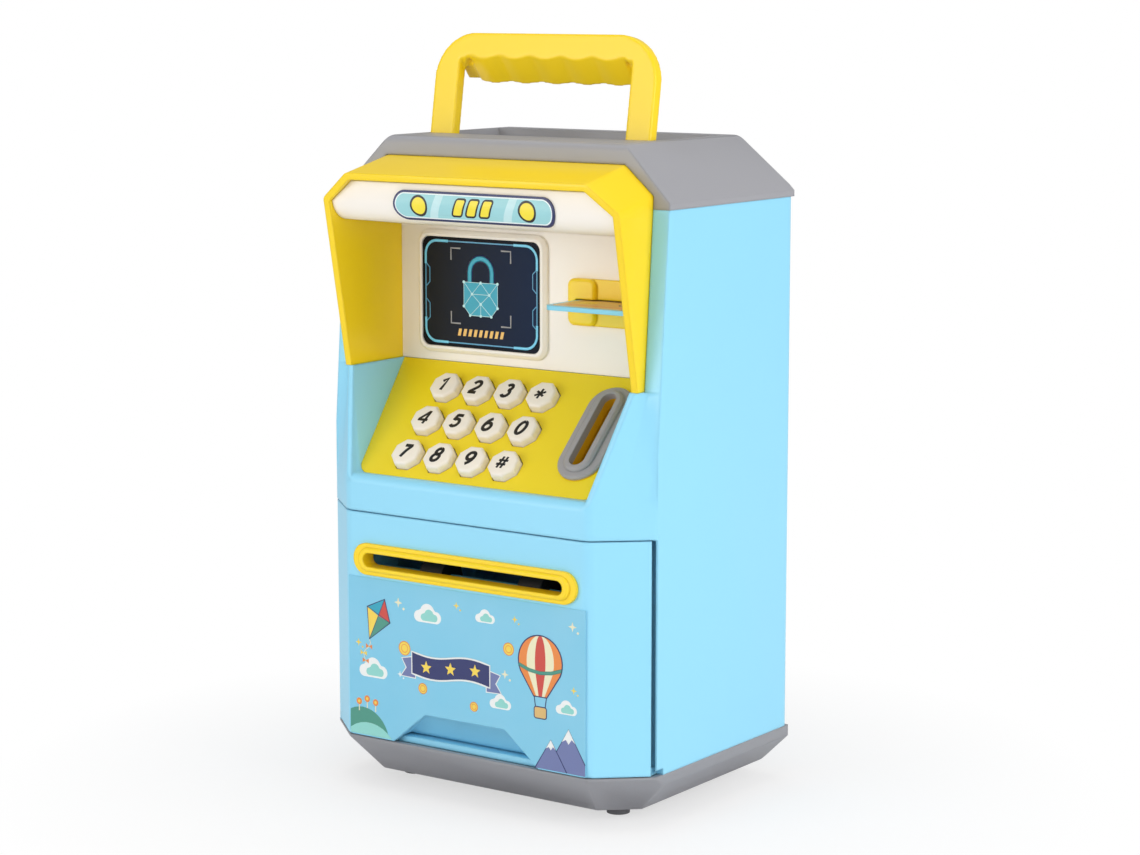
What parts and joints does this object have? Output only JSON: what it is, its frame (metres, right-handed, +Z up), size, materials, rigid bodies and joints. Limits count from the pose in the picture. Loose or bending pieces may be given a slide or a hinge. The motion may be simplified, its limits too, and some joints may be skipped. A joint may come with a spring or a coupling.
{
  "type": "toy cash machine savings bank",
  "caption": "Toy cash machine savings bank: visored console with keypad, card and coin slots, hinged money door with a bill feeder, and a folding carry handle.",
  "frame": {"origin": "centre of the overall outline, at the surface the feet stand on", "axes": "+Z up, -Y towards the user (door and keypad side), +X towards the coin slot's side"},
  "size_m": [0.13, 0.0974, 0.2502],
  "materials": {
    "shell_blue": "glossy light blue moulded plastic",
    "bright_yellow": "glossy yellow moulded plastic",
    "cream": "satin cream moulded plastic",
    "warm_grey": "satin grey moulded plastic",
    "key_cream": "satin cream moulded plastic",
    "printed_label": "printed adhesive label",
    "sign_print": "printed label, teal with a dark outline",
    "screen": "glossy dark display window",
    "card_plastic": "printed plastic card",
    "dark_plastic": "black moulded plastic",
    "white_plastic": "white moulded plastic",
    "circuit_board": "green printed circuit board",
    "soft_rubber": "black rubber",
    "mat_rubber": "pale silicone rubber",
    "steel": "plain steel",
    "cell_jacket": "painted cell jacket"
  },
  "bodies": {
    "housing": {"base_tray": "warm_grey", "feet": "soft_rubber", "main_shell": "shell_blue", "deck_plate": "shell_blue", "top_cap": "warm_grey", "visor_hood": "bright_yellow", "console_panel": "cream", "sign_plate": "sign_print", "display_window": "screen", "display_light_board": "circuit_board", "keypad_plate": "bright_yellow", "keypad_mat": "mat_rubber", "keypad_board": "circuit_board", "keypad_screws": "steel", "coin_ring": "warm_grey", "coin_chute": "bright_yellow", "card_bezel": "bright_yellow", "card_guide": "white_plastic", "card_sensor": "dark_plastic", "door_hinge_pins": "steel", "latch_solenoid": "dark_plastic", "rear_cover": "shell_blue", "rear_screws": "steel", "speaker": "dark_plastic", "battery_holder": "dark_plastic", "cells": "cell_jacket", "battery_contacts": "steel", "battery_cover": "shell_blue", "main_board": "circuit_board", "base_screws": "steel", "cap_screws": "steel"},
    "door": {"door": "shell_blue", "door_label": "printed_label", "bill_slot_frame": "bright_yellow", "feeder_frame": "white_plastic", "feed_motor": "steel", "feeder_screws": "steel"},
    "handle": {"handle": "bright_yellow"},
    "card": {"card": "card_plastic"},
    "latch_bolt": {"latch_bolt": "steel"},
    "drive": {"drive_shaft": "white_plastic", "drive_rollers": "soft_rubber"},
    "idler": {"idler_shaft": "white_plastic", "idler_rollers": "soft_rubber"},
    "pinion": {"motor_pinion": "white_plastic"},
    "key_1": {"key_1": "key_cream"},
    "key_2": {"key_2": "key_cream"},
    "key_3": {"key_3": "key_cream"},
    "key_star": {"key_star": "key_cream"},
    "key_4": {"key_4": "key_cream"},
    "key_5": {"key_5": "key_cream"},
    "key_6": {"key_6": "key_cream"},
    "key_0": {"key_0": "key_cream"},
    "key_7": {"key_7": "key_cream"},
    "key_8": {"key_8": "key_cream"},
    "key_9": {"key_9": "key_cream"},
    "key_hash": {"key_hash": "key_cream"}
  },
  "joints": [
    {"name": "door_hinge", "type": "hinge", "parent": "housing", "child": "door", "pos_m": [-0.0626, -0.03081, 0.056], "axis": [0, 0, -1], "range_deg": [0, 100]},
    {"name": "handle_pivot", "type": "hinge", "parent": "housing", "child": "handle", "pos_m": [0, -0.0046, 0.2135], "axis": [-1, 0, 0], "range_deg": [0, 81]},
    {"name": "card_slide", "type": "slide", "parent": "housing", "child": "card", "axis": [0, -1, 0], "range_m": [-0.004, 0.033]},
    {"name": "latch_slide", "type": "slide", "parent": "housing", "child": "latch_bolt", "axis": [0, 0, -1], "range_m": [0, 0.006], "stiffness_N_per_m": 120},
    {"name": "drive_spin", "type": "hinge", "parent": "door", "child": "drive", "pos_m": [0, -0.033, 0.07265], "axis": [1, 0, 0], "continuous": true},
    {"name": "idler_spin", "type": "hinge", "parent": "door", "child": "idler", "pos_m": [0, -0.033, 0.08495], "axis": [1, 0, 0], "continuous": true},
    {"name": "pinion_spin", "type": "hinge", "parent": "door", "child": "pinion", "pos_m": [0.047, -0.02219, 0.06872], "axis": [1, 0, 0], "continuous": true},
    {"name": "key_1_press", "type": "slide", "parent": "housing", "child": "key_1", "axis": [0, 0.6884, -0.7254], "range_m": [0, 0.0018], "stiffness_N_per_m": 400},
    {"name": "key_2_press", "type": "slide", "parent": "housing", "child": "key_2", "axis": [0, 0.6884, -0.7254], "range_m": [0, 0.0018], "stiffness_N_per_m": 400},
    {"name": "key_3_press", "type": "slide", "parent": "housing", "child": "key_3", "axis": [0, 0.6884, -0.7254], "range_m": [0, 0.0018], "stiffness_N_per_m": 400},
    {"name": "key_star_press", "type": "slide", "parent": "housing", "child": "key_star", "axis": [0, 0.6884, -0.7254], "range_m": [0, 0.0018], "stiffness_N_per_m": 400},
    {"name": "key_4_press", "type": "slide", "parent": "housing", "child": "key_4", "axis": [0, 0.6884, -0.7254], "range_m": [0, 0.0018], "stiffness_N_per_m": 400},
    {"name": "key_5_press", "type": "slide", "parent": "housing", "child": "key_5", "axis": [0, 0.6884, -0.7254], "range_m": [0, 0.0018], "stiffness_N_per_m": 400},
    {"name": "key_6_press", "type": "slide", "parent": "housing", "child": "key_6", "axis": [0, 0.6884, -0.7254], "range_m": [0, 0.0018], "stiffness_N_per_m": 400},
    {"name": "key_0_press", "type": "slide", "parent": "housing", "child": "key_0", "axis": [0, 0.6884, -0.7254], "range_m": [0, 0.0018], "stiffness_N_per_m": 400},
    {"name": "key_7_press", "type": "slide", "parent": "housing", "child": "key_7", "axis": [0, 0.6884, -0.7254], "range_m": [0, 0.0018], "stiffness_N_per_m": 400},
    {"name": "key_8_press", "type": "slide", "parent": "housing", "child": "key_8", "axis": [0, 0.6884, -0.7254], "range_m": [0, 0.0018], "stiffness_N_per_m": 400},
    {"name": "key_9_press", "type": "slide", "parent": "housing", "child": "key_9", "axis": [0, 0.6884, -0.7254], "range_m": [0, 0.0018], "stiffness_N_per_m": 400},
    {"name": "key_hash_press", "type": "slide", "parent": "housing", "child": "key_hash", "axis": [0, 0.6884, -0.7254], "range_m": [0, 0.0018], "stiffness_N_per_m": 400}
  ],
  "couplings": [
    {"joint": "idler_spin", "follows": "drive_spin", "ratio": -1},
    {"joint": "pinion_spin", "follows": "drive_spin", "ratio": -2.2857}
  ]
}
